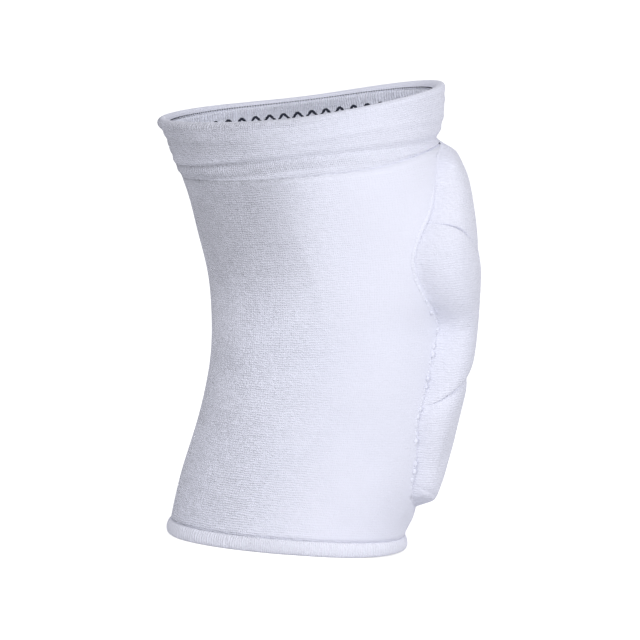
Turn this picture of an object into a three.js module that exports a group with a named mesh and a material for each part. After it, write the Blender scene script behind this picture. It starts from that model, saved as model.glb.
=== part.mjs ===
// A knitted volleyball knee pad that stands on its hem: an open, bent sleeve, a folded cuff with an elastic
// band inside, a rolled hem, and three foam cells in a row over the kneecap.
// Millimetres, +Z up, +X towards the front of the knee. The origin is the middle of the box round the whole
// pad, on the ground.

import * as THREE from 'three';

// Driving sizes
const sleeveLength = 206;
const rimDepth = 132;
const rimWidth = 94;
const rimTilt = THREE.MathUtils.degToRad(11.6);
const rimSag = 2.2;
const knitWall = 2.4;
const clearance = 0.3;

const cuffHeight = 29.8;
const cuffWall = 3.6;
const rimRoll = 5.2;
const rimFold = 3.6;
const weltHeight = 5.1;
const weltRelief = 0.9;

const elasticHeight = 20;
const elasticWall = 1.1;

const hemHeight = 6.6;
const hemWall = 4.2;
const hemProud = 1.7;

const padThickness = 15.2;
const padEdge = 1.6;
const padFlankRound = 0.55;
const upperCrease = 1;
const lowerCrease = 2.6;
const creaseReach = 6;
const middleProud = 1.2;

const dimpleDepth = 1.6;

// Facets
const stepsAround = 60;
const padColumns = 16;
const padRowHeight = 4.5;

// The cross-sections of the sleeve's outer face. level is the share of the sleeve's length, back and front
// are the reach behind and before the hem's middle as shares of the rim's depth, width is a share of the
// rim's, and square is how square the front is, where 2 is an ellipse.
const sections = [
  { level: 0.00, back: 0.415, front: 0.405, width: 0.85, square: 2.4 },
  { level: 0.06, back: 0.410, front: 0.404, width: 0.85, square: 2.6 },
  { level: 0.10, back: 0.402, front: 0.424, width: 0.85, square: 3.0 },
  { level: 0.15, back: 0.388, front: 0.444, width: 0.86, square: 3.3 },
  { level: 0.25, back: 0.353, front: 0.458, width: 0.87, square: 3.4 },
  { level: 0.36, back: 0.324, front: 0.472, width: 0.89, square: 3.4 },
  { level: 0.50, back: 0.324, front: 0.488, width: 0.91, square: 3.4 },
  { level: 0.62, back: 0.354, front: 0.487, width: 0.93, square: 3.4 },
  { level: 0.74, back: 0.412, front: 0.466, width: 0.95, square: 3.2 },
  { level: 0.84, back: 0.463, front: 0.440, width: 0.97, square: 2.8 },
  { level: 0.90, back: 0.512, front: 0.420, width: 0.98, square: 2.5 },
  { level: 0.96, back: 0.565, front: 0.428, width: 1.00, square: 2.4 },
  { level: 1.00, back: 0.580, front: 0.432, width: 1.00, square: 2.4 },
];
const squareBehind = 2.15;

// The pad's outline and bulk up the sleeve: halfAngle is in degrees to each side of the knee's middle line,
// and bulk is a share of the pad's thickness.
const padStations = [
  { level: 0.075, halfAngle: 17, bulk: 0.10 },
  { level: 0.090, halfAngle: 19, bulk: 0.16 },
  { level: 0.107, halfAngle: 21, bulk: 0.42 },
  { level: 0.120, halfAngle: 23, bulk: 0.62 },
  { level: 0.150, halfAngle: 27, bulk: 0.67 },
  { level: 0.200, halfAngle: 29, bulk: 0.70 },
  { level: 0.300, halfAngle: 34, bulk: 0.86 },
  { level: 0.360, halfAngle: 32, bulk: 0.98 },
  { level: 0.440, halfAngle: 30, bulk: 0.98 },
  { level: 0.500, halfAngle: 28, bulk: 0.95 },
  { level: 0.560, halfAngle: 39, bulk: 0.92 },
  { level: 0.640, halfAngle: 45, bulk: 0.90 },
  { level: 0.700, halfAngle: 40, bulk: 0.86 },
  { level: 0.740, halfAngle: 34, bulk: 0.81 },
  { level: 0.800, halfAngle: 28, bulk: 0.70 },
  { level: 0.824, halfAngle: 26, bulk: 0.56 },
  { level: 0.848, halfAngle: 24, bulk: 0.30 },
  { level: 0.867, halfAngle: 23, bulk: 0.12 },
];

// The lines across the pad: its two ends and the creases between its cells. middle is the level at the
// knee's middle line, side the level at the side seams, and bend the share of the way between them at
// across, from -1 to 1 over the pad's width.
const endBend = (across) => across ** 2;
const lowerBend = (across) => across ** 4;
const upperBend = (across) => Math.sin(Math.PI / 2 * across) ** 2;
const padBottom = { middle: 0.075, side: 0.115, bend: endBend };
const lowerLine = { middle: 0.388, side: 0.318, bend: lowerBend };
const upperLine = { middle: 0.617, side: 0.722, bend: upperBend };
const padTop = { middle: 0.867, side: 0.830, bend: endBend };

// The three cells. lowFall and highFall are the depths by which the outer face falls to the lines below and
// above.
const cells = [
  { name: 'pad_lower', low: padBottom, high: lowerLine, lowFall: 0, highFall: lowerCrease, proud: 0 },
  {
    name: 'pad_middle',
    low: lowerLine,
    high: upperLine,
    lowFall: 0.4 * lowerCrease,
    highFall: 0.8 * upperCrease,
    proud: middleProud,
  },
  { name: 'pad_upper', low: upperLine, high: padTop, lowFall: upperCrease, highFall: 0, proud: 0 },
];

// The dimple at each side of the pad's waist, where the knit folds as the knee bends
const dimple = { level: 0.494, angle: 42, levelSpread: 0.05, angleSpread: 16 };

// Rows of facets up the sleeve as shares of it between hem and cuff, closer together across the dimples
const sleeveRows = [
  0, 0.05, 0.12, 0.2, 0.28, 0.36, 0.43, 0.48, 0.525, 0.57, 0.615, 0.66, 0.71, 0.77, 0.84, 0.92, 1,
];

const { clamp, degToRad, lerp, radToDeg, smoothstep } = THREE.MathUtils;

// A smooth curve through one column of a table, read at a level
function column(rows, name) {
  const curve = new THREE.CubicInterpolant(rows.map((row) => row.level), rows.map((row) => row[name]), 1);
  return (level) => curve.evaluate(level)[0];
}

const backShare = column(sections, 'back');
const frontShare = column(sections, 'front');
const widthShare = column(sections, 'width');
const squareAt = column(sections, 'square');
const padAngle = column(padStations, 'halfAngle');
const padBulk = column(padStations, 'bulk');

function dimpleAt(angle, level) {
  const side = (radToDeg(Math.abs(angle)) - dimple.angle) / dimple.angleSpread;
  const height = (level - dimple.level) / dimple.levelSpread;
  return dimpleDepth * Math.exp(-side * side - height * height);
}

// A point of the sleeve's outer face moved outwards by out. The angle runs from the front round to the
// back, and each cross-section leans up towards the front, from flat at the hem to the tilt of the rim,
// whose sides sag.
function bodyPoint(angle, level, out) {
  const back = rimDepth * backShare(level);
  const front = rimDepth * frontShare(level);
  const offset = out - dimpleAt(angle, level);
  const halfDepth = (back + front) / 2 + offset;
  const halfWidth = rimWidth * widthShare(level) / 2 + offset;
  const square = lerp(squareBehind, squareAt(level), (1 + Math.cos(angle)) / 2);
  const depthTerm = Math.pow(Math.abs(Math.cos(angle)) / halfDepth, square);
  const widthTerm = Math.pow(Math.abs(Math.sin(angle)) / halfWidth, square);
  const radius = Math.pow(depthTerm + widthTerm, -1 / square);
  const along = (front - back) / 2 + radius * Math.cos(angle);
  const lean = rimTilt * level;
  const sag = rimSag * Math.pow(Math.sin(angle), 2) * Math.pow(level, 6);
  return new THREE.Vector3(
    along * Math.cos(lean),
    radius * Math.sin(angle),
    level * sleeveLength + along * Math.sin(lean) - sag,
  );
}

// The level of the cuff's lower edge: it climbs over the top of the pad at the front
function cuffBase(angle) {
  const overPad = 1 - smoothstep(Math.abs(angle), degToRad(15), degToRad(60));
  return 1 - (cuffHeight - 0.7 * weltHeight * overPad) / sleeveLength;
}

// A closed ring with one profile at every angle. The profile's points are { level, out } and run in a loop:
// up the outside, over and down the inside.
function ring(profileAt) {
  const loops = [];
  for (let i = 0; i < stepsAround; i += 1) {
    const turn = 2 * Math.PI * i / stepsAround;
    const angle = turn > Math.PI ? turn - 2 * Math.PI : turn;
    loops.push(profileAt(angle).map((point) => bodyPoint(angle, point.level, point.out)));
  }
  const count = loops[0].length;
  const index = [];
  for (let i = 0; i < stepsAround; i += 1) {
    const next = (i + 1) % stepsAround;
    for (let j = 0; j < count; j += 1) {
      const up = (j + 1) % count;
      const a = i * count + j;
      const b = next * count + j;
      const c = next * count + up;
      const d = i * count + up;
      index.push(a, b, c, a, c, d);
    }
  }
  return new THREE.BufferGeometry().setFromPoints(loops.flat()).setIndex(index);
}

function steps(count, valueAt) {
  return Array.from({ length: count + 1 }, (unused, i) => valueAt(i / count));
}

const elasticLevels = steps(3, (t) => 1 - (rimFold + clearance + elasticHeight * (1 - t)) / sleeveLength);

// The knitted tube between the hem and the cuff
function sleeveProfile(angle) {
  const low = (hemHeight + clearance) / sleeveLength;
  const high = cuffBase(angle) - clearance / sleeveLength;
  const levels = sleeveRows.map((share) => lerp(low, high, share));
  const outside = levels.map((level) => ({ level, out: 0 }));
  const inside = levels.map((level) => ({ level, out: -knitWall })).reverse();
  return [...outside, ...inside];
}

// The cuff: a welt between two grooves, the flat band, the rim's roll, and the fold that ends above the
// elastic. up is the height above the cuff's lower edge, and out the offset from the sleeve's face.
function cuffProfile(angle) {
  const base = cuffBase(angle);
  const height = (1 - base) * sleeveLength;
  const welt = weltHeight - (cuffHeight - height);
  const rimRadius = rimRoll / 2;
  const outside = [
    { up: 0, out: -0.5 * weltRelief },
    { up: 0.5 * welt, out: 0.5 * weltRelief },
    { up: welt, out: -0.6 * weltRelief },
    { up: welt + 0.12 * cuffHeight, out: 0.5 * weltRelief },
    { up: 0.55 * height + 0.45 * welt, out: 0.3 * weltRelief },
  ];
  const roll = steps(6, (t) => ({
    up: height - rimRadius + rimRadius * Math.sin(Math.PI * t),
    out: rimRadius * (Math.cos(Math.PI * t) - 1),
  }));
  const inside = [
    { up: height - rimFold, out: -rimRoll },
    { up: height - rimFold, out: -cuffWall },
    ...elasticLevels.map((level) => ({ up: (level - base) * sleeveLength, out: -cuffWall })).reverse(),
    { up: 0, out: -cuffWall },
  ];
  return [...outside, ...roll, ...inside].map(({ up, out }) => ({ level: base + up / sleeveLength, out }));
}

// The elastic band inside the cuff, below the rim's fold
function elasticProfile() {
  const outer = -(cuffWall + clearance);
  const outside = elasticLevels.map((level) => ({ level, out: outer }));
  const inside = elasticLevels.map((level) => ({ level, out: outer - elasticWall })).reverse();
  return [...outside, ...inside];
}

// The rolled hem, flat where it stands. up is a share of its height, and across a share of its wall from
// inside.
function hemProfile() {
  const outline = [
    { up: 0, across: 0.75 },
    { up: 0.2, across: 0.95 },
    { up: 0.5, across: 1 },
    { up: 0.8, across: 0.92 },
    { up: 1, across: 0.68 },
    { up: 1, across: 0.12 },
    { up: 0.8, across: 0 },
    { up: 0.2, across: 0 },
    { up: 0, across: 0.15 },
  ];
  return outline.map(({ up, across }) => ({
    level: up * hemHeight / sleeveLength,
    out: hemProud - hemWall * (1 - across),
  }));
}

function levelOn(line, across) {
  return lerp(line.middle, line.side, line.bend(across));
}

// How far a cell stands out at across and at a level between its lines
function cellHeight(cell, across, level, low, high) {
  const flank = Math.pow(1 - Math.pow(Math.abs(across), 3), padFlankRound);
  const fall = (share) => Math.pow(1 - clamp(share * sleeveLength / creaseReach, 0, 1), 2);
  const height = padThickness * padBulk(level) + cell.proud
    - cell.lowFall * fall(level - low) - cell.highFall * fall(high - level);
  return padEdge + Math.max(0, height - padEdge) * flank;
}

// One foam cell under its knit cover: an outer sheet, an inner sheet on the sleeve, and the edge between
// them
function padCell(cell) {
  const outer = [];
  const inner = [];
  const rows = Math.ceil((cell.high.middle - cell.low.middle) * sleeveLength / padRowHeight);
  for (let row = 0; row <= rows; row += 1) {
    const t = lerp(row / rows, (1 - Math.cos(Math.PI * row / rows)) / 2, 0.35);
    for (let side = 0; side <= padColumns; side += 1) {
      const across = 2 * side / padColumns - 1;
      const low = levelOn(cell.low, across) + clearance / sleeveLength;
      const high = levelOn(cell.high, across) - clearance / sleeveLength;
      const level = lerp(low, high, t);
      const angle = across * degToRad(padAngle(level));
      outer.push(bodyPoint(angle, level, clearance + cellHeight(cell, across, level, low, high)));
      inner.push(bodyPoint(angle, level, clearance));
    }
  }
  const width = padColumns + 1;
  const under = outer.length;
  const index = [];
  const quad = (a, b, c, d) => index.push(a, b, c, a, c, d);
  for (let row = 0; row < rows; row += 1) {
    for (let side = 0; side < padColumns; side += 1) {
      const a = row * width + side;
      const b = a + 1;
      const c = b + width;
      const d = a + width;
      // The quads split alike on both sides of the middle line
      if (side < padColumns / 2) {
        quad(a, b, c, d);
        quad(under + a, under + d, under + c, under + b);
      } else {
        quad(b, c, d, a);
        quad(under + d, under + c, under + b, under + a);
      }
    }
    const left = row * width;
    const right = left + padColumns;
    quad(left, left + width, under + left + width, under + left);
    quad(right + width, right, under + right, under + right + width);
  }
  for (let side = 0; side < padColumns; side += 1) {
    const bottom = side;
    const top = rows * width + side;
    quad(bottom + 1, bottom, under + bottom, under + bottom + 1);
    quad(top, top + 1, under + top + 1, under + top);
  }
  return new THREE.BufferGeometry().setFromPoints([...outer, ...inner]).setIndex(index);
}

const whiteKnit = new THREE.MeshStandardMaterial({ color: 0xe4e6f0, roughness: 0.95, metalness: 0 });
const ribbedKnit = new THREE.MeshStandardMaterial({ color: 0xdcdeea, roughness: 0.95, metalness: 0 });
const padKnit = new THREE.MeshStandardMaterial({ color: 0xe9ebf3, roughness: 0.9, metalness: 0 });
const whiteElastic = new THREE.MeshStandardMaterial({ color: 0xd5d7e3, roughness: 0.8, metalness: 0 });

const group = new THREE.Group();

function add(name, geometry, material) {
  const mesh = new THREE.Mesh(geometry, material);
  mesh.name = name;
  group.add(mesh);
}

add('sleeve', ring(sleeveProfile), whiteKnit);
add('top_cuff', ring(cuffProfile), ribbedKnit);
add('inner_elastic', ring(elasticProfile), whiteElastic);
add('bottom_hem', ring(hemProfile), ribbedKnit);
cells.forEach((cell) => add(cell.name, padCell(cell), padKnit));

// The shapes are drawn from the middle of the hem; the origin goes to the middle of the whole pad
const extent = new THREE.Box3().setFromObject(group);
group.position.x = -(extent.min.x + extent.max.x) / 2;

export default group;
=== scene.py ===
# %% [markdown]
# # A knitted volleyball knee pad
#
# The real object is a short knitted tube, bent like a knee. A folded band with an elastic inside closes its
# upper mouth, a rolled hem closes the lower one, and three foam cells sit under the knit over the kneecap.
# This lesson dresses the plain solids of that build: it turns each one into smooth cloth or padding, adds the
# seams and threads, and lights it for a studio picture.

# %% Load the frame
import math

import bmesh
import bpy
import numpy as np
from mathutils import Matrix, Vector
from mathutils.bvhtree import BVHTree


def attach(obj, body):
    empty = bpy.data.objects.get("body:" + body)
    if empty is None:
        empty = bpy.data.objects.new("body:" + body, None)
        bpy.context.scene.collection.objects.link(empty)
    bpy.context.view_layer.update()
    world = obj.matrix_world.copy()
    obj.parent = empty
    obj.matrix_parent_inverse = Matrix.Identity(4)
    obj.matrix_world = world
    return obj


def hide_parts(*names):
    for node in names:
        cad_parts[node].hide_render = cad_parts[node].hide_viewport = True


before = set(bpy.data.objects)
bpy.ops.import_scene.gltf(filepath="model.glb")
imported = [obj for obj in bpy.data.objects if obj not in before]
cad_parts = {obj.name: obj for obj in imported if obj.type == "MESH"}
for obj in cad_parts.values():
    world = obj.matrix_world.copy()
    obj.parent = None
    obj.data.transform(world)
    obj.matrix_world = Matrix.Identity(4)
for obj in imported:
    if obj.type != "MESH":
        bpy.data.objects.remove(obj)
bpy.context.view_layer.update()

# %% [markdown]
# ## The camera
#
# The picture was taken from the side, a little above, and the pad leans in it. A camera could be aimed with
# a constraint, but then the lean is hard to set. Building its axes by hand keeps all three turns in named
# values: which way it looks, how far from above, and how far the picture is turned. A long lens from far
# away keeps the two mouths as flat as they look there.

# %% Place the camera
PHOTO_SIDE = 640
METRES_PER_PIXEL = 0.00046
CAMERA_DISTANCE = 4.0
LOOK_DOWN = math.radians(7.6)
PICTURE_TURN = math.radians(4.5)
AIM_RIGHT = 0.0122
AIM_UP = 0.1019


def place_camera():
    level_up = Vector((0, math.sin(LOOK_DOWN), math.cos(LOOK_DOWN)))
    right = Vector((math.cos(PICTURE_TURN), 0, 0)) + level_up * math.sin(PICTURE_TURN)
    up = Vector((-math.sin(PICTURE_TURN), 0, 0)) + level_up * math.cos(PICTURE_TURN)
    backwards = right.cross(up)
    place = right * AIM_RIGHT + up * AIM_UP + backwards * CAMERA_DISTANCE
    lens = bpy.data.cameras.new("photo_camera")
    lens.sensor_width = 36
    lens.lens = 36 * CAMERA_DISTANCE / (PHOTO_SIDE * METRES_PER_PIXEL)
    lens.clip_end = 60
    camera = bpy.data.objects.new("photo_camera", lens)
    bpy.context.collection.objects.link(camera)
    camera.matrix_world = Matrix.Translation(place) @ Matrix((right, up, backwards)).transposed().to_4x4()
    bpy.context.scene.camera = camera
    return camera


camera = place_camera()
print("lens:", round(camera.data.lens), "mm")

# %% [markdown]
# ## Where a point lies on the sleeve
#
# Knit, seams and stitches all follow the tube, so each needs to know two things: the angle round the sleeve,
# from the front of the knee, and the level up it, from 0 at the hem to 1 at the rim. The tube bends, because
# every cross-section is hinged at the hem's middle and leans a little more than the one below. Undoing that
# hinge turns any place in space into an angle and a level, and one pattern can then run on from piece to
# piece. A smooth curve through a short table of levels gives how far each section's middle lies from the
# hinge.

# %% Sleeve coordinates
SLEEVE_LENGTH = 0.206
RIM_DEPTH = 0.132
RIM_TILT = math.radians(11.6)
RIM_SAG = 0.0022
HINGE_X = -0.0027236
SECTION_LEVELS = [0.00, 0.06, 0.10, 0.15, 0.25, 0.36, 0.50, 0.62, 0.74, 0.84, 0.90, 0.96, 1.00]
SECTION_BACK = [0.415, 0.410, 0.402, 0.388, 0.353, 0.324, 0.324, 0.354, 0.412, 0.463, 0.512, 0.565, 0.580]
SECTION_FRONT = [0.405, 0.404, 0.424, 0.444, 0.458, 0.472, 0.488, 0.487, 0.466, 0.440, 0.420, 0.428, 0.432]
PATTERN_DEPTH = 0.057
PATTERN_WIDTH = 0.042


def smooth_curve(levels, values, at):
    """A cubic through a table, read at one level or at an array of them."""
    at = np.clip(at, levels[0], levels[-1])
    t = np.array([2 * levels[0] - levels[1], *levels, 2 * levels[-1] - levels[-2]])
    v = np.array([values[1], *values, values[-2]])
    i = np.clip(np.searchsorted(levels, at, side="right"), 1, len(levels) - 1)
    gap = t[i + 1] - t[i]
    p = (at - t[i]) / gap
    before = 0.5 * gap / (t[i] - t[i - 1])
    after = 0.5 * gap / (t[i + 2] - t[i + 1])
    return (
        v[i - 1] * (-before * p**3 + 2 * before * p**2 - before * p)
        + v[i] * ((1 + before) * p**3 - (1.5 + 2 * before) * p**2 + (before - 0.5) * p + 1)
        + v[i + 1] * (-(1 + after) * p**3 + (1.5 + after) * p**2 + 0.5 * p)
        + v[i + 2] * (after * p**3 - after * p**2)
    )


def section_middle(level):
    front = smooth_curve(SECTION_LEVELS, SECTION_FRONT, level)
    return RIM_DEPTH * (front - smooth_curve(SECTION_LEVELS, SECTION_BACK, level)) / 2


def sleeve_place(points):
    """The angle and level of each row of an array of points."""
    x = points[:, 0] - HINGE_X
    level = points[:, 2] / SLEEVE_LENGTH
    angle = np.zeros(len(points))
    for _ in range(10):
        sag = RIM_SAG * np.sin(angle) ** 2 * np.clip(level, 0, 1.1) ** 6
        level = (points[:, 2] + sag - x * np.tan(RIM_TILT * level)) / SLEEVE_LENGTH
        along = x / np.cos(RIM_TILT * level)
        angle = np.arctan2(points[:, 1], along - section_middle(level))
    return angle, level


def axis_place(angle, level):
    """The point on the sleeve's middle line at a level, and the direction out of it at an angle."""
    lean = RIM_TILT * level
    reach = float(section_middle(level))
    sag = RIM_SAG * math.sin(angle) ** 2 * level**6
    height = level * SLEEVE_LENGTH + reach * math.sin(lean) - sag
    middle = Vector((HINGE_X + reach * math.cos(lean), 0, height))
    outwards = Vector((math.cos(angle) * math.cos(lean), math.sin(angle), math.cos(angle) * math.sin(lean)))
    return middle, outwards


turns = np.linspace(-2 * math.pi, 2 * math.pi, 1441)
arc_steps = np.hypot(PATTERN_DEPTH * np.sin(turns), PATTERN_WIDTH * np.cos(turns)) * (turns[1] - turns[0])
arcs = np.cumsum(arc_steps)
arcs -= np.interp(0, turns, arcs)


def way_round(angle):
    """Metres round the sleeve from its front."""
    return np.interp(angle, turns, arcs)


print("once round the sleeve:", round(float(way_round(math.pi)) * 2, 3), "m")

# %% [markdown]
# ## The outline of the padding
#
# The foam covers the kneecap. At each level it reaches a few tens of degrees to both sides, widest beside
# the kneecap's top and bottom and narrow at its waist. Two arcs divide it into three cells. The same tables
# shaped the solids, so the seams that follow them land on the foam's edges.

# %% Pad outline
PAD_LEVELS = [
    0.075, 0.090, 0.107, 0.120, 0.150, 0.200, 0.300, 0.360, 0.440,
    0.500, 0.560, 0.640, 0.700, 0.740, 0.800, 0.824, 0.848, 0.867,
]
PAD_HALF_ANGLES = [17, 19, 21, 23, 27, 29, 34, 32, 30, 28, 39, 45, 40, 34, 28, 26, 24, 23]
PAD_BOTTOM = (0.075, 0.115)
PAD_LOWER_ARC = (0.388, 0.318)
PAD_UPPER_ARC = (0.617, 0.722)
PAD_TOP = (0.867, 0.830)


def half_angle(level):
    return np.radians(smooth_curve(PAD_LEVELS, PAD_HALF_ANGLES, level))


def across_pad(angle, level):
    """0 at the knee's middle line and 1 at the pad's side seams."""
    return np.abs(angle) / half_angle(level)


def arc_level(arc, across, bend):
    across = np.minimum(across, 1)
    share = {"end": across**2, "lower": across**4, "upper": np.sin(math.pi / 2 * across) ** 2}[bend]
    return arc[0] + (arc[1] - arc[0]) * share


def smooth_step(value):
    value = np.clip(value, 0, 1)
    return value * value * (3 - 2 * value)


def bump_curve(value, width):
    return np.exp(-((value / width) ** 2))


print("widest half angle:", round(math.degrees(float(np.max(half_angle(np.linspace(0.1, 0.8, 200))))), 1))

# %% [markdown]
# ## From solid to cloth
#
# The solids are exact but faceted. A finished piece starts as a copy of its solid: the loose triangles are
# merged and paired back into the four-sided faces that they were cut from, the crisp edges are marked with a
# crease, and a subdivision surface rounds what lies between. Voxel remeshing would be quicker to write, but
# it eats a cloth edge 2 mm thick.

# %% Copy a solid
CRISP = math.radians(50)


def choose(piece):
    bpy.ops.object.select_all(action="DESELECT")
    piece.select_set(True)
    bpy.context.view_layer.objects.active = piece


def apply_all(piece):
    choose(piece)
    for modifier in list(piece.modifiers):
        bpy.ops.object.modifier_apply(modifier=modifier.name)


def copy_of(node, name, crease):
    mesh = bpy.data.objects[node].data.copy()
    mesh.name = name
    mesh.materials.clear()
    piece = bpy.data.objects.new(name, mesh)
    bpy.context.collection.objects.link(piece)
    choose(piece)
    bpy.ops.object.mode_set(mode="EDIT")
    bpy.ops.mesh.select_all(action="SELECT")
    bpy.ops.mesh.remove_doubles(threshold=1e-5)
    bpy.ops.mesh.tris_convert_to_quads(face_threshold=math.radians(70), shape_threshold=math.radians(70))
    bpy.ops.mesh.select_all(action="DESELECT")
    bpy.ops.mesh.select_mode(type="EDGE")
    bpy.ops.mesh.edges_select_sharp(sharpness=CRISP)
    bpy.ops.transform.edge_crease(value=crease)
    bpy.ops.object.mode_set(mode="OBJECT")
    return piece


def subdivide(piece, levels):
    smooth = piece.modifiers.new("smooth", "SUBSURF")
    smooth.levels = levels
    smooth.render_levels = levels
    apply_all(piece)
    bpy.ops.object.shade_smooth()


def report(piece):
    triangles = sum(len(face.vertices) - 2 for face in piece.data.polygons)
    print(piece.name, "-", triangles, "triangles")


# %% [markdown]
# ## Press and lift the cloth
#
# Grooves, folds and swellings are small moves of a fine mesh. Sculpting them by hand can't be repeated, so
# each move is a sum of the angle and the level. Points go in or out of the tube, and only those of the outer
# face.

# %% Move points in and out
def past(angle, start, over):
    """0 up to `start` degrees from the front, and 1 from `over` degrees further on."""
    return smooth_step((np.abs(angle) - math.radians(start)) / math.radians(over))


def vertex_array(mesh):
    places = np.empty(len(mesh.vertices) * 3)
    mesh.vertices.foreach_get("co", places)
    return places.reshape(-1, 3)


def normal_array(mesh):
    normals = np.empty(len(mesh.vertices) * 3)
    mesh.vertices.foreach_get("normal", normals)
    return normals.reshape(-1, 3)


def set_places(mesh, places):
    mesh.vertices.foreach_set("co", np.ascontiguousarray(places, dtype=np.float64).ravel())
    mesh.update()


def outward_array(angle, level):
    lean = RIM_TILT * level
    return np.stack([np.cos(angle) * np.cos(lean), np.sin(angle), np.cos(angle) * np.sin(lean)], axis=1)


def up_array(level):
    lean = RIM_TILT * level
    return np.stack([-np.sin(lean), np.zeros(len(level)), np.cos(lean)], axis=1)


def faces_out(mesh, angle, level):
    """From 0 for points that face the leg or lie on an edge, to 1 for points that face outwards."""
    facing = np.sum(normal_array(mesh) * outward_array(angle, level), axis=1)
    return smooth_step((facing + 0.1) / 0.6)


def tree_of(*names):
    """A search tree of the named objects' faces."""
    shape = bmesh.new()
    for name in names:
        shape.from_mesh(bpy.data.objects[name].data)
    tree = BVHTree.FromBMesh(shape)
    shape.free()
    return tree


def outside_of(tree, angle, level):
    """The outer face's point and normal, found by a ray from far outside."""
    middle, outwards = axis_place(angle, level)
    point, normal, _, _ = tree.ray_cast(middle + outwards * 0.3, -outwards)
    return point, normal


def inside_of(tree, angle, level):
    """The inner face's point and its normal towards the leg, found by a ray from the middle."""
    middle, outwards = axis_place(angle, level)
    point, normal, _, _ = tree.ray_cast(middle, outwards)
    if normal.dot(outwards) > 0:
        normal = -normal
    return point, normal


# %% [markdown]
# ## Lay the knit
#
# Each piece gets a UV map measured in metres: across is the way round the sleeve and up is the way along it,
# so a stitch has the same size on every piece. Every corner of a face is unwrapped next to the face's first
# corner, so no face is smeared over the line where the circle closes. Three painted attributes say where the
# knit is ribbed, where painted shade darkens it, and how fluffy it is: it lies smooth where it is stretched
# over the knee and loose behind it.

# %% UV map and masks
def paint(mesh, name, values):
    mask = mesh.attributes.get(name) or mesh.attributes.new(name, "FLOAT", "POINT")
    mask.data.foreach_set("value", np.ascontiguousarray(values, dtype=np.float32))


def lay_knit(piece, ribbed=None, fluff=(0.28, 2.7), shade=None):
    mesh = piece.data
    angle, level = sleeve_place(vertex_array(mesh))
    corners = np.empty(len(mesh.loops), dtype=np.int64)
    mesh.loops.foreach_get("vertex_index", corners)
    starts = np.empty(len(mesh.polygons), dtype=np.int64)
    totals = np.empty(len(mesh.polygons), dtype=np.int64)
    mesh.polygons.foreach_get("loop_start", starts)
    mesh.polygons.foreach_get("loop_total", totals)
    first = np.repeat(angle[corners[starts]], totals)
    turned = first + (angle[corners] - first + math.pi) % (2 * math.pi) - math.pi
    across = way_round(turned)
    up = level[corners] * SLEEVE_LENGTH
    layer = mesh.uv_layers.get("knit") or mesh.uv_layers.new(name="knit")
    layer.data.foreach_set("uv", np.stack([across, up], axis=1).ravel())
    mesh.uv_layers.active = layer
    paint(mesh, "ribbed", np.zeros(len(angle)) if ribbed is None else ribbed(angle, level))
    # The shade mask holds painted shade.
    paint(mesh, "shade", np.zeros(len(angle)) if shade is None else shade(angle, level))
    behind = past(angle, 50, 120)
    behind *= faces_out(mesh, angle, level)
    paint(mesh, "fluff", fluff[0] + (fluff[1] - fluff[0]) * behind)


# %% [markdown]
# ## The knit sleeve
#
# The sleeve is one seamless tube with a wall of about 2 mm. Its solid already has the bend of the knee, the
# narrow waist behind it and the dimples beside the kneecap. What it lacks is how a loose knit hangs: shallow
# hollows, a long soft ridge down the side, and the way it climbs onto the foam instead of meeting it at a
# corner.

# %% Sleeve
SLEEVE_RADIUS = 0.047
FILLET_HEIGHT = 0.0009
FILLET_REACH = 0.005
UNDER_PAD_HEIGHT = 0.0013
UNDER_PAD_REACH = 0.0012


def pad_distance(angle, level):
    """Metres outside the pad's outline, and below zero under it."""
    across = across_pad(angle, level)
    beside = (np.abs(angle) - half_angle(level)) * SLEEVE_RADIUS
    above = (level - arc_level(PAD_TOP, across, "end")) * SLEEVE_LENGTH
    below = (arc_level(PAD_BOTTOM, across, "end") - level) * SLEEVE_LENGTH
    return np.maximum(np.maximum(beside, above), below)


def pad_fillet(angle, level):
    """The knit's climb onto the foam, fuller under the pad's lower end and gone at the cuff."""
    under_pad = smooth_step((PAD_BOTTOM[1] - level) / 0.03) * (1 - smooth_step((np.abs(angle) - 0.3) / 0.4))
    height = FILLET_HEIGHT * (1 - smooth_step((level - 0.832) / 0.028)) + UNDER_PAD_HEIGHT * under_pad
    reach = FILLET_REACH + UNDER_PAD_REACH * under_pad
    return height * bump_curve(np.maximum(pad_distance(angle, level), 0), reach)


# %% [markdown]
# ## Loose knit
#
# The hollows are a sum of a few waves, the same on every run. The ridge is the fold that the tube keeps when
# it is laid flat. Under the cuff, behind the knee, a painted shadow of the cuff's overhang darkens the knit.

# %% Hollows, ridge and shade
KNIT_WAVE = 0.00012
RIDGE_HEIGHT = 0.00035
TOP_TUCK = 0.0004


def loose_knit(angle, level):
    """Shallow hollows and swellings."""
    waves = (
        np.sin(3 * angle + 11 * level + 0.6)
        + 0.8 * np.sin(5 * angle - 17 * level + 2.1)
        + 0.6 * np.sin(2 * angle + 31 * level + 4.0)
        + 0.5 * np.sin(9 * angle + 23 * level + 1.2)
        + 0.35 * np.sin(13 * angle - 37 * level + 5.3)
    )
    return KNIT_WAVE * waves


def side_ridge(angle, level):
    """The long soft ridge down the middle of each side."""
    middle = np.radians(88 + 60 * (level - 0.45))
    length = smooth_step((level - 0.40) / 0.12) * (1 - smooth_step((level - 0.70) / 0.10))
    return RIDGE_HEIGHT * length * bump_curve(np.abs(angle) - middle, 0.05)


def sleeve_shape(angle, level):
    ends = smooth_step((level - 0.03) / 0.08) * (1 - smooth_step((level - 0.82) / 0.035))
    tuck = TOP_TUCK * smooth_step((level - 0.853) / 0.004) * (1 - np.cos(angle)) / 2
    return pad_fillet(angle, level) + ends * (loose_knit(angle, level) + side_ridge(angle, level)) - tuck


def shape_outside(piece, shape):
    points = vertex_array(piece.data)
    angle, level = sleeve_place(points)
    amount = shape(angle, level) * faces_out(piece.data, angle, level)
    set_places(piece.data, points + outward_array(angle, level) * amount[:, None])


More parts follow.
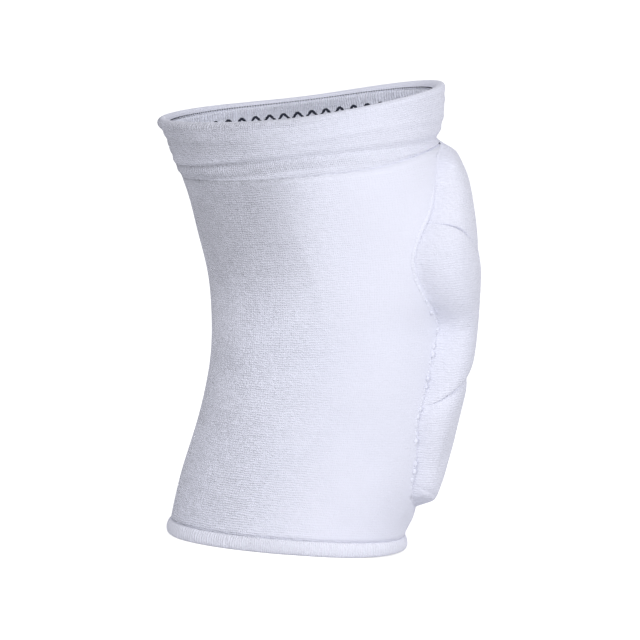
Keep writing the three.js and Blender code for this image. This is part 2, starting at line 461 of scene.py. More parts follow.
def painted_cuff_shadow(angle, level):
    """Painted shadow of the cuff's overhang on the loose knit behind the knee."""
    sides = past(angle, 82, 45)
    sides *= 1 - 0.5 * past(angle, 152, 25)
    return 0.28 * sides * smooth_step((level - 0.50) / 0.25)


# %% Make the sleeve
sleeve = copy_of("sleeve", "knit_sleeve", 1.0)
subdivide(sleeve, 2)
shape_outside(sleeve, sleeve_shape)
lay_knit(sleeve, shade=painted_cuff_shadow)
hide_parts("sleeve")
report(sleeve)

# %% [markdown]
# ## The cuff
#
# The cuff is the end of the tube folded to the inside and stitched down, so its rim is a soft roll. Two
# grooves run round its base with a ribbed roll between them. They are deepest at the sides towards the back
# and fade over the pad. The band above has a few flat wrinkles where the elastic gathers it, and behind the
# knee it is drawn in.

# %% Cuff relief
def upper_groove(angle):
    return 0.884 + 0.016 * np.sin(angle) ** 2


def lower_groove(angle):
    return 0.856 + 0.013 * np.sin(angle) ** 2


def towards_back(angle):
    return (1 - np.cos(angle)) / 2


def cuff_shape(angle, level):
    spine = bump_curve(math.pi - np.abs(angle), 0.6)
    front = 1 - past(angle, 20, 45)
    behind = towards_back(angle) * (1 - 0.75 * spine)
    over_upper = (level - upper_groove(angle)) * SLEEVE_LENGTH
    over_lower = (level - lower_groove(angle)) * SLEEVE_LENGTH
    depth = -(0.00040 + 0.0009 * behind) * bump_curve(over_upper, 0.0012)
    depth -= (0.00015 + 0.0006 * behind) * bump_curve(over_lower, 0.0009)
    roll = (0.0003 * (1 - front) + 0.0003 * behind) * bump_curve((over_upper + over_lower) / 2, 0.0018)
    band = (level - upper_groove(angle)) / (1 - upper_groove(angle))
    inside_band = smooth_step(band / 0.15) * (1 - smooth_step((band - 0.72) / 0.15))
    wrinkles = (
        0.00016 * np.sin(2 * math.pi * (3.3 * band + 0.22 * np.sin(2 * angle)))
        + 0.00012 * np.sin(2 * math.pi * (5.6 * band + 0.35 * np.sin(3 * angle + 1)))
        + 0.00022 * np.sin(6 * angle + 2.0) * bump_curve(band - 0.45, 0.25)
    )
    swell = 0.0005 * bump_curve(band - 0.45, 0.3) * (1 - spine)
    swell -= 0.0021 * spine * bump_curve(band - 0.52, 0.34)
    welt = -0.0009 * front * (1 - smooth_step((over_upper - 0.001) / 0.003))
    welt += 0.0007 * spine * bump_curve(over_upper, 0.0016)
    under_rim = (1 - level) * SLEEVE_LENGTH
    rim = bump_curve(under_rim - 0.0022, 0.0018) - bump_curve(under_rim - 0.0068, 0.0022)
    rim *= 0.0001 + 0.0003 * behind
    flush = (0.00045 * towards_back(angle) + 0.0004 * front) * (1 - smooth_step(over_lower / 0.0012))
    return depth + roll + inside_band * (wrinkles + swell) + welt + rim + flush


# %% [markdown]
# ### Its base, its rim and its ribs
#
# The cuff's lower edge is brought down onto the sleeve, so no gap shows, and the rim hangs a little lower
# beside the knee. The ribs and the narrow folds are finer than the mesh, so they are only painted: the ribs
# as bump and the folds as painted shade. Painted shade also darkens the band behind the knee.

# %% Cuff edges and masks
CUFF_HEIGHT = 0.0298
WELT_HEIGHT = 0.0051
BASE_DROP = 0.0006
RIM_SINK = 0.0009
FOLD_PITCH = 0.0024


def cuff_base(angle):
    over_pad = 1 - past(angle, 15, 45)
    return 1 - (CUFF_HEIGHT - 0.7 * WELT_HEIGHT * over_pad) / SLEEVE_LENGTH


def drop_base(piece, base_of, reach):
    """Lower a ring's bottom edge a little."""
    points = vertex_array(piece.data)
    angle, level = sleeve_place(points)
    near = 1 - smooth_step((level - base_of(angle)) * SLEEVE_LENGTH / 0.0015)
    set_places(piece.data, points - up_array(level) * (near * reach)[:, None])


def sink_rim(piece, depth):
    """Lower the rim a little beside the knee."""
    points = vertex_array(piece.data)
    angle, level = sleeve_place(points)
    amount = depth * np.sin(angle) ** 2 * smooth_step((level - 0.92) / 0.08)
    set_places(piece.data, points - up_array(level) * amount[:, None])


def cuff_ribs(angle, level):
    behind = towards_back(angle)
    above_lower = smooth_step((level - lower_groove(angle)) / 0.004)
    below_upper = 1 - smooth_step((level - upper_groove(angle)) / 0.004)
    rim = smooth_step((level - 0.972) / 0.012)
    return above_lower * below_upper * (0.25 + 0.75 * behind) + rim * (0.35 + 0.65 * behind)


def cuff_painted_shade(angle, level):
    """Painted shade: on the band behind the knee, and in the narrow bottoms of the two grooves."""
    over_upper = (level - upper_groove(angle)) * SLEEVE_LENGTH
    over_lower = (level - lower_groove(angle)) * SLEEVE_LENGTH
    band = (level - upper_groove(angle)) / (1 - upper_groove(angle))
    stitched = 0.75 + 0.25 * np.sin(way_round(angle) / FOLD_PITCH * 2 * math.pi)
    # Painted shade in the narrow bottoms of the two grooves, broken along the stitched fold.
    dark = 0.34 * bump_curve(over_upper, 0.0008) * stitched + 0.26 * bump_curve(over_lower, 0.0007) * stitched
    dark *= past(angle, 95, 45)
    # Painted shade on the band, towards the back of the knee.
    return dark + 0.14 * bump_curve(band - 0.5, 0.28) * smooth_step((np.abs(angle) - math.radians(90)) / 0.7)


# %% Make the cuff
cuff = copy_of("top_cuff", "cuff_band", 0.5)
subdivide(cuff, 3)
shape_outside(cuff, cuff_shape)
drop_base(cuff, cuff_base, BASE_DROP)
sink_rim(cuff, RIM_SINK)
lay_knit(cuff, cuff_ribs, fluff=(0.8, 2.6), shade=cuff_painted_shade)
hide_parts("top_cuff")
report(cuff)

# %% [markdown]
# ## The elastic
#
# The elastic is a woven band sewn under the fold, and it gathers in fine upright ruches. Its upper edge
# swells towards the leg until it is level with the fold.

# %% Elastic
FOLD_DEPTH = 0.0036
TOP_SWELL = 0.00055
RUCHE_PITCH = 0.0021
RUCHE_DEPTH = 0.00012


def all_ribbed(angle, level):
    return np.ones(len(angle))


def elastic_shape(angle, level):
    """The band's top rises to the fold's face, so the stitches run over no step."""
    under_fold = (1 - level) * SLEEVE_LENGTH - FOLD_DEPTH
    flush = -TOP_SWELL * (1 - smooth_step((under_fold - 0.0004) / 0.0050))
    ruches = RUCHE_DEPTH * np.sin(way_round(angle) / RUCHE_PITCH * 2 * math.pi)
    return flush + ruches * smooth_step(under_fold / 0.002)


def shape_inside(piece, shape):
    points = vertex_array(piece.data)
    angle, level = sleeve_place(points)
    facing = np.sum(normal_array(piece.data) * outward_array(angle, level), axis=1)
    amount = shape(angle, level) * smooth_step((0.1 - facing) / 0.6)
    set_places(piece.data, points + outward_array(angle, level) * amount[:, None])


elastic = copy_of("inner_elastic", "elastic_band", 0.6)
subdivide(elastic, 3)
shape_inside(elastic, elastic_shape)
lay_knit(elastic, all_ribbed, fluff=(1.6, 1.6))
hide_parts("inner_elastic")
report(elastic)

# %% [markdown]
# ## The hem
#
# The hem is a thick overlocked roll. It is a little thinner at the front, where its lower edge curves up,
# and a short crease crosses it where the knit was joined. Its upper edge is raised into the sleeve to close
# the joint.

# %% Hem
HEM_FRONT_LIFT = 0.0010
HEM_OVERLAP = 0.0004


def hem_shape(angle, level):
    crease = bump_curve(np.abs(angle) - math.radians(126.5) - 1.5 * (level - 0.02), 0.013)
    swell = 0.00018 * np.sin(7 * angle + 0.8) + 0.00012 * np.sin(12 * angle + 2.6)
    return swell - 0.0004 * crease


hem = copy_of("bottom_hem", "hem_roll", 0.2)
subdivide(hem, 3)
shape_outside(hem, hem_shape)
hem_points = vertex_array(hem.data)
hem_angle, hem_level = sleeve_place(hem_points)
front_share = 1 - past(hem_angle, 10, 45)
hem_points[:, 2] += HEM_FRONT_LIFT * front_share * (1 - np.clip(hem_level / 0.032, 0, 1))
hem_points[:, 2] += HEM_OVERLAP * smooth_step((hem_level - 0.022) / 0.008)
set_places(hem.data, hem_points)
lay_knit(hem, all_ribbed, fluff=(0.8, 1.6))
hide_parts("bottom_hem")
report(hem)

# %% [markdown]
# ## The foam cells
#
# Each cell is foam under the same knit, sewn down all round. The flanks are first brought down onto the
# sleeve, because the knit runs over the foam and onto the tube without a step, and the upper cell climbs to
# the cuff. The ends of two cells are moved together, so only a crease shows between them.

# %% Bring the foam down onto the sleeve
EDGE_HEIGHT = 0.0005
SEWN_HEIGHT = 0.0022
TOP_RISE = 0.0031
END_SHIFT = 0.0005
FLANK_SWELL = 0.0015
WAIST_DENT = 0.0007
CORNER_DENT = 0.0008


def cell_arcs(node, across):
    bottom = arc_level(PAD_BOTTOM, across, "end")
    lower = arc_level(PAD_LOWER_ARC, across, "lower")
    upper = arc_level(PAD_UPPER_ARC, across, "upper")
    top = arc_level(PAD_TOP, across, "end")
    return {"pad_lower": (bottom, lower), "pad_middle": (lower, upper), "pad_upper": (upper, top)}[node]


def cell_dents(across, level, full):
    """Small creases in the knit: two beside the waist of the pad and one over its bottom corner."""
    near_seam = smooth_step((across - 0.70) / 0.16)
    waist = bump_curve((level - 0.514 + 0.02 * (1 - across)) * SLEEVE_LENGTH, 0.0010)
    waist += bump_curve((level - 0.484 - 0.02 * (1 - across)) * SLEEVE_LENGTH, 0.0011)
    corner_line = 0.158 - 0.085 * (1 - across)
    corner = bump_curve((level - corner_line) * SLEEVE_LENGTH, 0.0010) * smooth_step((across - 0.60) / 0.15)
    return full * (WAIST_DENT * waist * near_seam + CORNER_DENT * corner)


def feather(piece, node, tube):
    """Bring the flanks down onto the sleeve, and return which points are sewn."""
    points = vertex_array(piece.data)
    angle, level = sleeve_place(points)
    across = across_pad(angle, level)
    low, high = cell_arcs(node, across)
    if node == "pad_upper":
        rise = smooth_step((level - high + 0.065) / 0.065) * (1 - smooth_step((across - 0.75) / 0.25))
        points += up_array(level) * (TOP_RISE * rise)[:, None]
    full = smooth_step((1.0 - across) / 0.09)
    if node == "pad_lower":
        full = full * smooth_step((level - low) * SLEEVE_LENGTH / 0.007)
    if node == "pad_upper":
        full = full * smooth_step((high - level) * SLEEVE_LENGTH / 0.005)
    edge = np.full(len(points), EDGE_HEIGHT)
    if node == "pad_upper":
        edge *= smooth_step((high - level) * SLEEVE_LENGTH / 0.003)
    sewn = []
    for number, point in enumerate(points):
        ground, _, _, height = tube.find_nearest(Vector(point))
        if height > edge[number]:
            target = edge[number] + (height - edge[number]) * full[number]
            points[number] = np.array(ground) + (point - np.array(ground)) * (target / height)
        if height < SEWN_HEIGHT or full[number] < 0.05:
            sewn.append(number)
    near_low = bump_curve((level - low) * SLEEVE_LENGTH, 0.0012) * (node != "pad_lower")
    near_high = bump_curve((high - level) * SLEEVE_LENGTH, 0.0012) * (node != "pad_upper")
    points += up_array(level) * (END_SHIFT * (near_high - near_low))[:, None]
    flank = FLANK_SWELL * bump_curve(across - 0.72, 0.22) * full
    points += outward_array(angle, level) * (flank - cell_dents(across, level, full))[:, None]
    set_places(piece.data, points)
    return sewn


# %% [markdown]
# ### Puff the foam
#
# Sewn padding is a cushion, so it is inflated: the cloth is pinned along its sewn edges and along the face
# on the sleeve, a little pressure swells the rest, and no point may move further than the cap. The cells are
# first made smaller by part of the cap, so they end at the size of their solids.

# %% Cloth under pressure
SWELL_CAP = 0.0012
SHRINK = 0.0007
CLOTH_MASS = 0.15
PRESSURE = 4
LAST_FRAME = 20


def puff(piece, sewn):
    """Swell the cloth between its sewn edges, by at most the cap."""
    start = vertex_array(piece.data)
    angle, level = sleeve_place(start)
    inwards = SHRINK * faces_out(piece.data, angle, level)
    inwards[sewn] = 0.0
    set_places(piece.data, start - outward_array(angle, level) * inwards[:, None])
    small = vertex_array(piece.data)
    group = piece.vertex_groups.new(name="sewn")
    group.add([int(number) for number in sewn], 1.0, "REPLACE")
    cloth = piece.modifiers.new("puff", "CLOTH")
    cloth.settings.quality = 6
    cloth.settings.mass = CLOTH_MASS
    cloth.settings.use_pressure = True
    cloth.settings.uniform_pressure_force = PRESSURE
    cloth.settings.vertex_group_mass = "sewn"
    cloth.settings.effector_weights.gravity = 0
    cloth.collision_settings.use_collision = False
    cloth.point_cache.frame_start = 1
    cloth.point_cache.frame_end = LAST_FRAME
    for number in range(1, LAST_FRAME + 1):
        bpy.context.scene.frame_set(number)
    apply_all(piece)
    bpy.context.scene.frame_set(1)
    moved = vertex_array(piece.data) - small
    length = np.linalg.norm(moved, axis=1)
    print(piece.name, "swells by up to", round(float(length.max()) * 1000, 2), "mm before the cap")
    kept = np.minimum(1, SWELL_CAP / np.maximum(length, 1e-9))
    set_places(piece.data, small + moved * kept[:, None])
    piece.vertex_groups.clear()


# %% Make the cells
CELLS = {"pad_lower": "foam_cell_lower", "pad_middle": "foam_cell_middle", "pad_upper": "foam_cell_upper"}
sleeve_ground = tree_of("sleeve", "cuff_band")
foam_cells = []
for node, name in CELLS.items():
    cell = copy_of(node, name, 0.35)
    subdivide(cell, 2)
    sewn_points = feather(cell, node, sleeve_ground)
    puff(cell, sewn_points)
    subdivide(cell, 1)
    lay_knit(cell, fluff=(0.85, 0.85))
    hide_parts(node)
    foam_cells.append(cell)
    report(cell)

# %% [markdown]
# ## Threads that follow a line
#
# Stitches, seams and the woven zigzag all repeat along a line on the cloth. Each route is a smooth line of
# points found by rays onto the finished faces. A row of stitches is modelled once, repeated with an array and
# bent along its route with a curve modifier, as one would by hand.

# %% Routes and rows
def loop_length(points):
    return sum((a - b).length for a, b in zip(points, points[1:] + points[:1]))


def line_length(points):
    return sum((a - b).length for a, b in zip(points, points[1:]))


def route(name, points, closed, thickness=None):
    curve = bpy.data.curves.new(name, "CURVE")
    curve.dimensions = "3D"
    line = curve.splines.new("POLY")
    line.points.add(len(points) - 1)
    for number, (spot, point) in enumerate(zip(line.points, points)):
        spot.co = (*point, 1)
        spot.radius = 1 if thickness is None else thickness[number]
    line.use_cyclic_u = closed
    guide = bpy.data.objects.new(name, curve)
    bpy.context.collection.objects.link(guide)
    return guide


def row_along(pattern, guide, count, pitch):
    repeat = pattern.modifiers.new("repeat", "ARRAY")
    repeat.use_relative_offset = False
    repeat.use_constant_offset = True
    repeat.constant_offset_displace = (pitch, 0, 0)
    repeat.count = count
    bend = pattern.modifiers.new("bend", "CURVE")
    bend.object = guide
    bend.deform_axis = "POS_X"
    apply_all(pattern)
    bpy.data.objects.remove(guide)
    bpy.ops.object.shade_smooth()
    return pattern


def thread_along(name, guide, radius, sides):
    """A round thread along a route: the route itself is given a thickness and made a mesh."""
    guide.name = name
    guide.data.bevel_depth = radius
    guide.data.bevel_resolution = sides
    guide.data.use_fill_caps = True
    choose(guide)
    bpy.ops.object.convert(target="MESH")
    bpy.ops.object.shade_smooth()
    return bpy.context.object


# %% [markdown]
# ## Stitches inside the cuff
#
# Two dark details show inside the far wall of the cuff. A row of short stitches holds the fold down along its
# lower edge, and a thick zigzag is woven into the elastic.

# %% Fold stitches
STITCH_PITCH = 0.00124
STITCH_LENGTH = 0.00054
STITCH_THICKNESS = 0.00064
FOLD_STITCH_DEPTH = 0.0030

fold_level = 1 - FOLD_STITCH_DEPTH / SLEEVE_LENGTH
cuff_inside = tree_of("cuff_band", "elastic_band")
fold_points = []
for number in range(360):
    point, normal = inside_of(cuff_inside, 2 * math.pi * number / 360, fold_level)
    fold_points.append(point + normal * 0.00012)
fold_length = loop_length(fold_points)
stitch_count = round(fold_length / STITCH_PITCH)
print("fold stitches:", stitch_count)


def dash(name, length, thickness):
    bpy.ops.object.select_all(action="DESELECT")
    lying = (0, math.pi / 2, 0)
    bpy.ops.mesh.primitive_cylinder_add(vertices=6, radius=thickness / 2, depth=length, rotation=lying)
    piece = bpy.context.object
    piece.name = name
    bpy.ops.object.transform_apply(rotation=True)
    rounding = piece.modifiers.new("rounding", "BEVEL")
    rounding.width = thickness / 5
    rounding.segments = 1
    apply_all(piece)
    set_places(piece.data, vertex_array(piece.data) + np.array([length / 2, 0, 0]))
    return piece


fold_stitches = row_along(
    dash("fold_stitches", STITCH_LENGTH, STITCH_THICKNESS),
    route("fold_route", fold_points, True),
    stitch_count,
    fold_length / stitch_count,
)
report(fold_stitches)

# %% [markdown]
# ### The zigzag
#
# It is a thick thread woven into the elastic, so it lies half sunk in the band and shows thicker and thinner
# along its legs.

# %% Woven zigzag
ZIGZAG_PITCH = 0.0067
ZIGZAG_HEIGHT = 0.0044
ZIGZAG_DEPTH = 0.0084
ZIGZAG_RADIUS = 0.00066
ZIGZAG_SUNK = 0.00030
ZIGZAG_SPOTS = 20
ZIGZAG_BEAD = (0.8, 1.05, 1.1, 1.1, 1.05)

zigzag_top = 1 - ZIGZAG_DEPTH / SLEEVE_LENGTH
zigzag_low = zigzag_top - ZIGZAG_HEIGHT / SLEEVE_LENGTH
around_angles = np.linspace(0, 2 * math.pi, 721)
around_top = np.array([list(inside_of(cuff_inside, float(angle), zigzag_top)[0]) for angle in around_angles])
around_run = np.concatenate([[0], np.cumsum(np.linalg.norm(np.diff(around_top, axis=0), axis=1))])
zigzag_count = round(around_run[-1] / ZIGZAG_PITCH)
zigzag_points = []
for number in range(ZIGZAG_SPOTS * zigzag_count):
    run = around_run[-1] * number / (ZIGZAG_SPOTS * zigzag_count)
    angle = float(np.interp(run, around_run, around_angles))
    leg = 1 - abs(2 * (number % ZIGZAG_SPOTS) / ZIGZAG_SPOTS - 1)
    drop = math.hypot(leg, 0.12) - 0.06
    point, normal = inside_of(cuff_inside, angle, zigzag_top + (zigzag_low - zigzag_top) * drop)
    zigzag_points.append(point - normal * ZIGZAG_SUNK)
zigzag_thickness = [ZIGZAG_BEAD[number % len(ZIGZAG_BEAD)] for number in range(len(zigzag_points))]
zigzag_route = route("zigzag_route", zigzag_points, True, zigzag_thickness)
zigzag = thread_along("woven_zigzag", zigzag_route, ZIGZAG_RADIUS, 2)
print("zigzag peaks:", zigzag_count)
report(zigzag)

# %% [markdown]
# ## The pad's seam
#
# The knit over the foam is sewn down along a raised ridge at each side. It is a soft cord under the thread,
# so it is a thick round thread sunk into the cloth until only its top shows. Where the stitching is dense it
# gathers in small knots of uneven size.

# %% Pad seams
SEAM_RADIUS = 0.00125
SEAM_LEVELS = (0.150, 0.800)
SEAM_LIFT = -0.0006
SEAM_SPOTS = 220
KNOT_LEVELS = (0.165, 0.665)
KNOT_PITCH = 0.0037
KNOT_RADIUS = 0.00092
KNOT_LIFT = -0.0002
KNOT_SPOTS = 120

outside_faces = tree_of("knit_sleeve", "foam_cell_lower", "foam_cell_middle", "foam_cell_upper")


def seam_points(side, levels, lift, count):
    points = []
    for level in np.linspace(*levels, count):
        angle = (float(half_angle(level)) + 0.004) * side
        point, normal = outside_of(outside_faces, angle, float(level))
        points.append(point + normal * lift)
    smooth = np.array([list(point) for point in points])
    for _ in range(6):
        smooth[1:-1] = 0.5 * smooth[1:-1] + 0.25 * (smooth[:-2] + smooth[2:])
    return [Vector(point) for point in smooth]


def seam_thickness(count):
    """Full beside the upper cell, thin under the dense stitches, and slightly uneven."""
    level = np.linspace(*SEAM_LEVELS, count)
    full = smooth_step((level - 0.54) / 0.08) * (1 - smooth_step((level - 0.70) / 0.10))
    uneven = 0.05 * np.sin(level * 260) + 0.04 * np.sin(level * 431 + 1)
    return 0.66 + 0.34 * full + uneven


def knot(name):
    bpy.ops.object.select_all(action="DESELECT")
    oval = (1.55, 1.05, 0.9)
    bpy.ops.mesh.primitive_uv_sphere_add(segments=12, ring_count=8, radius=KNOT_RADIUS, scale=oval)
    piece = bpy.context.object
    piece.name = name
    bpy.ops.object.transform_apply(scale=True)
    set_places(piece.data, vertex_array(piece.data) + np.array([0.0015, 0, 0]))
    return piece


def make_uneven(piece, count):
    """Give every knot its own size and place, as dense hand-fed stitching has."""
    chance = np.random.default_rng(7)
    points = vertex_array(piece.data).reshape(count, -1, 3)
    middle = points.mean(axis=1, keepdims=True)
    size = chance.uniform(0.55, 1.1, (count, 1, 1))
    shift = chance.normal(0, 0.00035, (count, 1, 3))
    set_places(piece.data, (middle + shift + (points - middle) * size).reshape(-1, 3))


seams = []
knots = []
for side, name in ((-1, "right"), (1, "left")):
    points = seam_points(side, SEAM_LEVELS, SEAM_LIFT, SEAM_SPOTS)
    guide = route("seam_route", points, False, seam_thickness(SEAM_SPOTS))
    seams.append(thread_along("pad_seam_" + name, guide, SEAM_RADIUS, 3))
    points = seam_points(side, KNOT_LEVELS, KNOT_LIFT, KNOT_SPOTS)
    count = int(line_length(points) / KNOT_PITCH)
    knots.append(row_along(knot("seam_knots_" + name), route("knot_route", points, False), count, KNOT_PITCH))
    make_uneven(knots[-1], count)
    report(seams[-1])
    report(knots[-1])

# %% [markdown]
# ## The knit's surface
#
# White cloth is never one white. The knit has rows of loops, called courses, that run round the sleeve, and
# columns of loops, called wales, that run up it. Short pile blurs both. All of it is finer than the mesh, so
# it is made in one shared node group that puts out a height for the bump and a tone for the colour, and each
# material feeds it its own pitches.

# %% Node helpers
def new_group(name, inputs, outputs):
    group = bpy.data.node_groups.new(name, "ShaderNodeTree")
    for label, value in inputs:
        socket = group.interface.new_socket(label, in_out="INPUT", socket_type="NodeSocketFloat")
        socket.default_value = value
    for label in outputs:
        group.interface.new_socket(label, in_out="OUTPUT", socket_type="NodeSocketFloat")
    return group


def fill(node, values):
    """Set the inputs of a node by their names."""
    for name, value in values.items():
        node.inputs[name].default_value = value


class Board:
    """Short calls for laying nodes and joining them."""

    def __init__(self, tree):
        self.tree = tree

    def add(self, kind, **settings):
        node = self.tree.nodes.new(kind)
        for key, value in settings.items():
            setattr(node, key, value)
        return node

    def join(self, source, target):
        self.tree.links.new(source, target)

    def feed(self, target, value):
        if isinstance(value, (int, float)):
            target.default_value = value
        else:
            self.join(value, target)

    def sum(self, operation, first, second=0.0, third=None):
        node = self.add("ShaderNodeMath", operation=operation)
        self.feed(node.inputs[0], first)
        self.feed(node.inputs[1], second)
        if third is not None:
            self.feed(node.inputs[2], third)
        return node.outputs[0]

    def noise(self, place, scale, detail=2.0):
        node = self.add("ShaderNodeTexNoise")
        self.join(place, node.inputs["Vector"])
        fill(node, {"Scale": scale, "Detail": detail})
        return node.outputs["Fac"]

    def mix(self, factor, first, second):
        """A colour that drifts from one to another."""
        node = self.add("ShaderNodeMix", data_type="RGBA")
        self.join(factor, node.inputs["Factor"])
        fill(node, {"A": (*first, 1), "B": (*second, 1)})
        return node.outputs["Result"]


def new_material(name):
    material = bpy.data.materials.new(name)
    material.use_nodes = True
    return material, Board(material.node_tree), material.node_tree.nodes["Principled BSDF"]


# %% [markdown]
# ### One group for all the cloth
#
# Waves along the UV map make courses and wales, noise makes the pile, and the painted masks weigh them.
# The tone carries painted shade in the knit's valleys, in the shade mask and where the Shade input is set.

# %% Shared knit group
def knit_group():
    group = new_group(
        "terry_knit",
        [
            ("Course Pitch", 0.0011),
            ("Wale Pitch", 0.0010),
            ("Course Depth", 1.0),
            ("Wale Depth", 0.5),
            ("Pile", 1.0),
            ("Shade", 0.0),
        ],
        ["Height", "Tone", "Tint"],
    )
    board = Board(group)
    given = board.add("NodeGroupInput").outputs
    result = board.add("NodeGroupOutput")
    uv = board.add("ShaderNodeUVMap", uv_map="knit").outputs["UV"]
    place = board.add("ShaderNodeTexCoord").outputs["Object"]
    ribbed = board.add("ShaderNodeAttribute", attribute_name="ribbed").outputs["Fac"]
    fluff = board.add("ShaderNodeAttribute", attribute_name="fluff").outputs["Fac"]
    shade = board.add("ShaderNodeAttribute", attribute_name="shade").outputs["Fac"]
    parts = board.add("ShaderNodeSeparateXYZ")
    board.join(uv, parts.inputs[0])
    wander = board.noise(place, 180.0)
    course = board.sum("DIVIDE", parts.outputs["Y"], given["Course Pitch"])
    course = board.sum("MULTIPLY_ADD", wander, 1.6, course)
    wale = board.sum("DIVIDE", parts.outputs["X"], given["Wale Pitch"])
    wale = board.sum("MULTIPLY_ADD", wander, 1.3, wale)
    course_wave = board.sum("SINE", board.sum("MULTIPLY", course, 2 * math.pi))
    wale_wave = board.sum("SINE", board.sum("MULTIPLY", wale, 2 * math.pi))
    worn = board.noise(place, 45.0, 3.0)
    course_depth = board.sum("MULTIPLY", given["Course Depth"], board.sum("MULTIPLY_ADD", worn, 1.4, 0.2))
    wale_depth = board.sum("MULTIPLY_ADD", ribbed, 1.3, given["Wale Depth"])
    pile = board.noise(place, 1300.0, 3.0)
    pills = board.noise(place, 480.0, 2.0)
    height = board.sum("MULTIPLY", course_wave, course_depth)
    height = board.sum("MULTIPLY_ADD", wale_wave, wale_depth, height)
    rough = board.sum("ADD", board.sum("SUBTRACT", pile, 0.5), board.sum("SUBTRACT", pills, 0.5))
    height = board.sum("MULTIPLY_ADD", board.sum("MULTIPLY", rough, given["Pile"]), 5.0, height)
    height = board.sum("MULTIPLY", height, fluff)
    # Painted shade: the tone is a little darker where the knit's height is low, in its valleys.
    tone = board.sum("MULTIPLY_ADD", height, 0.016, 0.95)
    tone = board.sum("MULTIPLY_ADD", board.sum("SUBTRACT", board.noise(place, 26.0, 3.0), 0.5), 0.08, tone)
    # Painted shade: the fluffy knit behind the knee is darkened by the Shade input.
    painted_back_shade = board.sum("MAXIMUM", board.sum("SUBTRACT", fluff, 1.0), 0.0)
    painted_back_shade = board.sum("MULTIPLY", painted_back_shade, given["Shade"])
    tone = board.sum("MULTIPLY", tone, board.sum("SUBTRACT", 1.0, painted_back_shade))
    # The shade mask darkens the tone: painted shade.
    tone = board.sum("MULTIPLY", tone, board.sum("SUBTRACT", 1.0, shade))
    board.join(height, result.inputs["Height"])
    board.join(tone, result.inputs["Tone"])
    board.join(board.noise(place, 14.0, 2.0), result.inputs["Tint"])
    return group


terry_knit = knit_group()
print("shared group:", terry_knit.name)

# %% [markdown]
# ## The cloth materials
#
# Every cloth on the pad is the same kind of white yarn, so one recipe makes them all. The colour is white
# with a breath of lavender that drifts a little from place to place, the surface is rough with a weak sheen
# from the pile, and the bump comes from the knit group.

# %% Cloth recipe
def knit_material(name, cool, warm, values, bump=0.00007, sheen=0.25):
    material, board, shader = new_material(name)
    knit = board.add("ShaderNodeGroup", node_tree=terry_knit)
    fill(knit, values)
    tint = board.add("ShaderNodeMix", data_type="RGBA", blend_type="MULTIPLY")
    fill(tint, {"Factor": 1.0})
    board.join(board.mix(knit.outputs["Tint"], cool, warm), tint.inputs["A"])
    grey = board.add("ShaderNodeCombineColor")
    for channel in grey.inputs:
        board.join(knit.outputs["Tone"], channel)
    board.join(grey.outputs[0], tint.inputs["B"])
    board.join(tint.outputs["Result"], shader.inputs["Base Color"])
    relief = board.add("ShaderNodeBump")
    fill(relief, {"Strength": 1.0, "Distance": bump})
    board.join(knit.outputs["Height"], relief.inputs["Height"])
    board.join(relief.outputs["Normal"], shader.inputs["Normal"])
    fill(shader, {"Roughness": 0.95, "Specular IOR Level": 0.12})
    fill(shader, {"Sheen Weight": sheen, "Sheen Roughness": 0.6})
    return material


COOL = (0.785, 0.805, 0.925)
WARM = (0.81, 0.815, 0.91)
sleeve_knit = knit_material("white_knit", COOL, WARM, {"Course Pitch": 0.0011, "Wale Pitch": 0.0012})
# The cuff's Shade input paints shade on its fluffy knit behind the knee.
cuff_knit = knit_material(
    "cuff_knit",
    (0.76, 0.78, 0.90),
    (0.785, 0.79, 0.885),
    {"Course Pitch": 0.0010, "Wale Pitch": 0.0011, "Shade": 0.05},
)
hem_knit = knit_material(
    "hem_overlock",
    (0.825, 0.84, 0.95),
    (0.845, 0.85, 0.94),
    {"Course Pitch": 0.004, "Wale Pitch": 0.00125, "Course Depth": 0.2, "Pile": 0.8},
)
pad_knit = knit_material("pad_knit", COOL, WARM, {"Course Pitch": 0.0011, "Wale Pitch": 0.0012, "Pile": 0.8})
elastic_weave = knit_material(
    "elastic_weave",
    (0.84, 0.865, 0.985),
    (0.86, 0.875, 0.975),
    {"Course Pitch": 0.0020, "Wale Pitch": 0.0012, "Course Depth": 0.3, "Pile": 0.8},
)
seam_thread = knit_material(
    "seam_thread",
    (0.82, 0.84, 0.955),
    (0.84, 0.85, 0.95),
    {"Course Pitch": 0.0013, "Course Depth": 1.0, "Pile": 0.8},
)

# %% [markdown]
# ### The dark thread
#
# The stitches and the zigzag are navy blue yarn, nearly black, with lighter fibres here and there.

# %% Navy thread
def thread_material(name, dark, light):
    material, board, shader = new_material(name)
    place = board.add("ShaderNodeTexCoord").outputs["Object"]
    fibre = board.noise(place, 2600.0, 2.0)
    board.join(board.mix(fibre, dark, light), shader.inputs["Base Color"])
    relief = board.add("ShaderNodeBump")
    fill(relief, {"Distance": 0.00005})
    board.join(fibre, relief.inputs["Height"])
    board.join(relief.outputs["Normal"], shader.inputs["Normal"])
    fill(shader, {"Roughness": 0.8})
    return material


navy_thread = thread_material("navy_thread", (0.006, 0.008, 0.018), (0.022, 0.028, 0.055))

# %% [markdown]
# ## Dress every piece
#
# Each piece is told its material and the body that it moves with. The pad has no joints, so there is one
# body.

# %% Materials and bodies
WEARS = [
    (sleeve, sleeve_knit, "sleeve"),
    (cuff, cuff_knit, "top_cuff"),
    (elastic, elastic_weave, "inner_elastic"),
    (hem, hem_knit, "bottom_hem"),
    *[(cell, pad_knit, node) for cell, node in zip(foam_cells, CELLS)],
    *[(thread, seam_thread, "sleeve") for thread in seams + knots],
    (fold_stitches, navy_thread, "inner_elastic"),
    (zigzag, navy_thread, "inner_elastic"),
]
for thread in seams + knots:
    lay_knit(thread, fluff=(0.8, 0.8))
for piece, material, slot in WEARS:
    piece.data.materials.clear()
    piece.data.materials.append(material)
    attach(piece, "root")

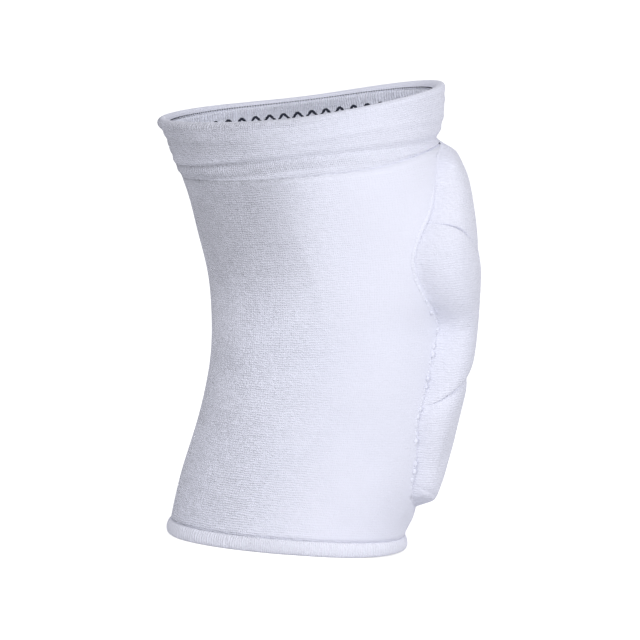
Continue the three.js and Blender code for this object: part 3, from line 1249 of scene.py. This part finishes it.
# %% [markdown]
# ## Floor and light
#
# The floor is a plain white sheet. It throws light back up under the hem and the foam, and it shines a little
# towards the camera alone, so it stays white to the edge of the picture. The key light is large and soft and
# stands high to the right of the camera, so it reaches into the cuff and the knit fades into soft shade
# towards the back of the knee. Three weaker lights and a pale sky open the shadows.

# %% Studio
def studio_floor():
    bpy.ops.object.select_all(action="DESELECT")
    bpy.ops.mesh.primitive_plane_add(size=16, location=(0, 3, 0))
    floor = bpy.context.object
    floor.name = "studio_floor"
    material, board, shader = new_material("floor_white")
    seen = board.add("ShaderNodeLightPath").outputs["Is Camera Ray"]
    grain = board.noise(board.add("ShaderNodeTexCoord").outputs["Object"], 3.0)
    pale = board.mix(grain, (0.74, 0.74, 0.75), (0.78, 0.78, 0.79))
    glow = board.mix(seen, (0, 0, 0), (0.72, 0.72, 0.72))
    board.join(pale, shader.inputs["Base Color"])
    board.join(glow, shader.inputs["Emission Color"])
    fill(shader, {"Emission Strength": 1.0, "Roughness": 1.0, "Specular IOR Level": 0.0})
    floor.data.materials.append(material)
    return floor


def soft_light(name, place, target, size, power):
    light = bpy.data.lights.new(name, "AREA")
    light.shape = "SQUARE"
    light.size = size
    light.energy = power
    lamp = bpy.data.objects.new(name, light)
    bpy.context.collection.objects.link(lamp)
    lamp.location = place
    aim = Vector(target) - Vector(place)
    lamp.rotation_euler = aim.to_track_quat("-Z", "Y").to_euler()
    return lamp


def sky(strength, colour):
    world = bpy.data.worlds.new("studio_sky")
    bpy.context.scene.world = world
    world.use_nodes = True
    background = world.node_tree.nodes["Background"]
    fill(background, {"Color": (*colour, 1), "Strength": strength})


floor = studio_floor()
soft_light("key", (1.5, -2.4, 1.5), (0, 0, 0.1), 1.5, 33)
soft_light("front_fill", (-1.8, -2.3, 0.35), (0, 0, 0.05), 1.6, 31)
soft_light("side_fill", (3.0, -0.5, 0.6), (0, 0, 0.1), 1.6, 11)
soft_light("top_light", (0.2, -1.5, 2.3), (0, 0, 0.2), 1.2, 9)
sky(0.50, (0.96, 0.96, 1.0))
bpy.context.scene.view_settings.view_transform = "Standard"
